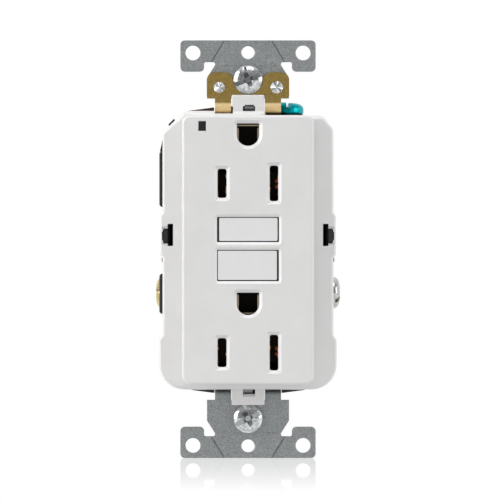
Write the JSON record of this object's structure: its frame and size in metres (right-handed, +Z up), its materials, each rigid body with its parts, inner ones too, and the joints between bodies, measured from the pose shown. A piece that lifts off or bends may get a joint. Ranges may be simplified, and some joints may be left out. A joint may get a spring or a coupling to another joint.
{
  "type": "gfci outlet",
  "caption": "Duplex receptacle with ground-fault interrupter: white face with test and reset buttons, steel mounting strap, side terminal screws and inner trip mechanism",
  "frame": {"origin": "midway between the two box screws, on the rear face of the mounting strap", "axes": "+X right as seen from the front, +Z up with the ground holes above the blade slots, -Y out of the face"},
  "size_m": [0.045, 0.0361, 0.1028],
  "materials": {
    "white_nylon": "glossy moulded nylon",
    "black_thermoplastic": "satin moulded plastic",
    "tray_plastic": "satin moulded plastic",
    "galvanized_steel": "zinc-coated sheet",
    "ground_brass": "stamped sheet brass",
    "contact_brass": "stamped sheet brass",
    "screw_brass": "plated screw",
    "zinc_screw": "bright zinc",
    "silver_screw": "nickel plate",
    "green_screw": "green-blue dyed zinc",
    "fibre": "vulcanized fibre",
    "white_button": "glossy moulded plastic",
    "copper_leaf": "phosphor bronze",
    "contact_silver": "silver alloy",
    "plain_steel": "plain steel",
    "clear_pipe": "smoked clear plastic",
    "led_body": "moulded epoxy",
    "board_green": "solder-masked laminate",
    "core_wire": "enamelled copper wire",
    "natural_nylon": "natural nylon",
    "package_black": "moulded epoxy",
    "capacitor_sleeve": "shrink sleeve",
    "varistor_blue": "dipped epoxy",
    "resistor_tan": "lacquered body"
  },
  "bodies": {
    "outlet": {"front_cover": "white_nylon", "rear_housing": "black_thermoplastic", "middle_housing": "tray_plastic", "mounting_strap": "galvanized_steel", "ground_plate": "ground_brass", "lower_ground_contact": "ground_brass", "strap_rivets": "zinc_screw", "screw_retainers": "fibre", "reset_spring": "plain_steel", "light_pipe": "clear_pipe", "status_led": "led_body", "hot_contact_strip": "contact_brass", "neutral_contact_strip": "contact_brass", "fixed_contacts": "contact_silver", "line_hot_terminal": "contact_brass", "line_neutral_terminal": "contact_brass", "circuit_board": "board_green", "line_conductors": "contact_brass", "coil_case": "tray_plastic", "sensing_coils": "core_wire", "solenoid_bobbin": "natural_nylon", "solenoid_winding": "core_wire", "solenoid_frame": "plain_steel", "plunger_spring": "plain_steel", "controller_chip": "package_black", "filter_capacitor": "capacitor_sleeve", "surge_varistor": "varistor_blue", "resistors": "resistor_tan", "rectifier_diodes": "package_black", "thyristor": "package_black"},
    "test_push": {"test_button": "white_button"},
    "test_leaf": {"test_contact_spring": "copper_leaf"},
    "reset_push": {"reset_button": "white_button", "reset_pin": "plain_steel"},
    "carrier": {"contact_carrier": "natural_nylon"},
    "latch": {"latch_plate": "plain_steel"},
    "plunger": {"solenoid_plunger": "plain_steel"},
    "hot_arm": {"hot_contact_arm": "copper_leaf", "hot_moving_contact": "contact_silver"},
    "neutral_arm": {"neutral_contact_arm": "copper_leaf", "neutral_moving_contact": "contact_silver"},
    "top_box_screw": {"box_screw_top": "zinc_screw"},
    "bottom_box_screw": {"box_screw_bottom": "zinc_screw"},
    "green_screw": {"ground_screw": "green_screw"},
    "line_hot_plate": {"line_hot_clamp": "screw_brass"},
    "line_hot_turn": {"line_hot_screw": "screw_brass"},
    "line_neutral_plate": {"line_neutral_clamp": "silver_screw"},
    "line_neutral_turn": {"line_neutral_screw": "silver_screw"},
    "load_hot_plate": {"load_hot_clamp": "screw_brass"},
    "load_hot_turn": {"load_hot_screw": "screw_brass"},
    "load_neutral_plate": {"load_neutral_clamp": "silver_screw"},
    "load_neutral_turn": {"load_neutral_screw": "silver_screw"}
  },
  "joints": [
    {"name": "test_press", "type": "slide", "parent": "outlet", "child": "test_push", "axis": [0, 1, 0], "range_m": [0, 0.0012], "stiffness_N_per_m": 900, "springref_m": -0.0004},
    {"name": "test_leaf_flex", "type": "hinge", "parent": "outlet", "child": "test_leaf", "pos_m": [0.0038, 0.00455, 0.0132], "axis": [1, 0, 0], "range_deg": [0, 8.3]},
    {"name": "reset_press", "type": "slide", "parent": "outlet", "child": "reset_push", "axis": [0, 1, 0], "range_m": [0, 0.002], "stiffness_N_per_m": 1200, "springref_m": -0.0005, "deforming": ["reset_spring"]},
    {"name": "contact_drop", "type": "slide", "parent": "outlet", "child": "carrier", "axis": [0, 1, 0], "range_m": [0, 0.001], "stiffness_N_per_m": 600, "springref_m": -0.0004},
    {"name": "plunger_stroke", "type": "slide", "parent": "outlet", "child": "plunger", "axis": [0, 0, 1], "range_m": [0, 0.0018], "stiffness_N_per_m": 300, "springref_m": -0.0006, "deforming": ["plunger_spring"]},
    {"name": "latch_slide", "type": "slide", "parent": "carrier", "child": "latch", "axis": [0, 0, 1], "range_m": [0, 0.0018]},
    {"name": "hot_arm_flex", "type": "hinge", "parent": "outlet", "child": "hot_arm", "pos_m": [-0.0103, 0.01555, -0.0135], "axis": [-1, 0, 0], "range_deg": [0, 6.2]},
    {"name": "neutral_arm_flex", "type": "hinge", "parent": "outlet", "child": "neutral_arm", "pos_m": [0.0103, 0.01555, -0.0135], "axis": [-1, 0, 0], "range_deg": [0, 6.2]},
    {"name": "top_box_screw_turn", "type": "hinge", "parent": "outlet", "child": "top_box_screw", "pos_m": [0, 0, 0.04167], "axis": [0, 1, 0], "continuous": true},
    {"name": "bottom_box_screw_turn", "type": "hinge", "parent": "outlet", "child": "bottom_box_screw", "pos_m": [0, 0, -0.04167], "axis": [0, 1, 0], "continuous": true},
    {"name": "ground_screw_turn", "type": "hinge", "parent": "outlet", "child": "green_screw", "pos_m": [0.0095, 0.008, 0.03], "axis": [0, 0, 1], "range_deg": [-360, 360]},
    {"name": "line_hot_screw_turn", "type": "hinge", "parent": "line_hot_plate", "child": "line_hot_turn", "pos_m": [-0.016, 0.0105, -0.0108], "axis": [1, 0, 0], "range_deg": [0, 1080]},
    {"name": "line_hot_clamp_slide", "type": "slide", "parent": "outlet", "child": "line_hot_plate", "axis": [1, 0, 0], "range_m": [0, 0.0024]},
    {"name": "line_neutral_screw_turn", "type": "hinge", "parent": "line_neutral_plate", "child": "line_neutral_turn", "pos_m": [0.016, 0.0105, -0.0108], "axis": [-1, 0, 0], "range_deg": [0, 1080]},
    {"name": "line_neutral_clamp_slide", "type": "slide", "parent": "outlet", "child": "line_neutral_plate", "axis": [-1, 0, 0], "range_m": [0, 0.0024]},
    {"name": "load_hot_screw_turn", "type": "hinge", "parent": "load_hot_plate", "child": "load_hot_turn", "pos_m": [-0.016, 0.0105, 0.0175], "axis": [1, 0, 0], "range_deg": [-1080, 0]},
    {"name": "load_hot_clamp_slide", "type": "slide", "parent": "outlet", "child": "load_hot_plate", "axis": [1, 0, 0], "range_m": [-0.0024, 0]},
    {"name": "load_neutral_screw_turn", "type": "hinge", "parent": "load_neutral_plate", "child": "load_neutral_turn", "pos_m": [0.016, 0.0105, 0.0175], "axis": [-1, 0, 0], "range_deg": [-1080, 0]},
    {"name": "load_neutral_clamp_slide", "type": "slide", "parent": "outlet", "child": "load_neutral_plate", "axis": [-1, 0, 0], "range_m": [-0.0024, 0]}
  ],
  "couplings": [
    {"joint": "test_leaf_flex", "follows": "test_press", "rad_per_m": 119.05},
    {"joint": "latch_slide", "follows": "plunger_stroke", "ratio": 1},
    {"joint": "hot_arm_flex", "follows": "contact_drop", "rad_per_m": 105.26},
    {"joint": "neutral_arm_flex", "follows": "contact_drop", "rad_per_m": 105.26},
    {"joint": "line_hot_screw_turn", "follows": "line_hot_clamp_slide", "rad_per_m": 7854},
    {"joint": "line_neutral_screw_turn", "follows": "line_neutral_clamp_slide", "rad_per_m": 7854},
    {"joint": "load_hot_screw_turn", "follows": "load_hot_clamp_slide", "rad_per_m": 7854},
    {"joint": "load_neutral_screw_turn", "follows": "load_neutral_clamp_slide", "rad_per_m": 7854}
  ]
}
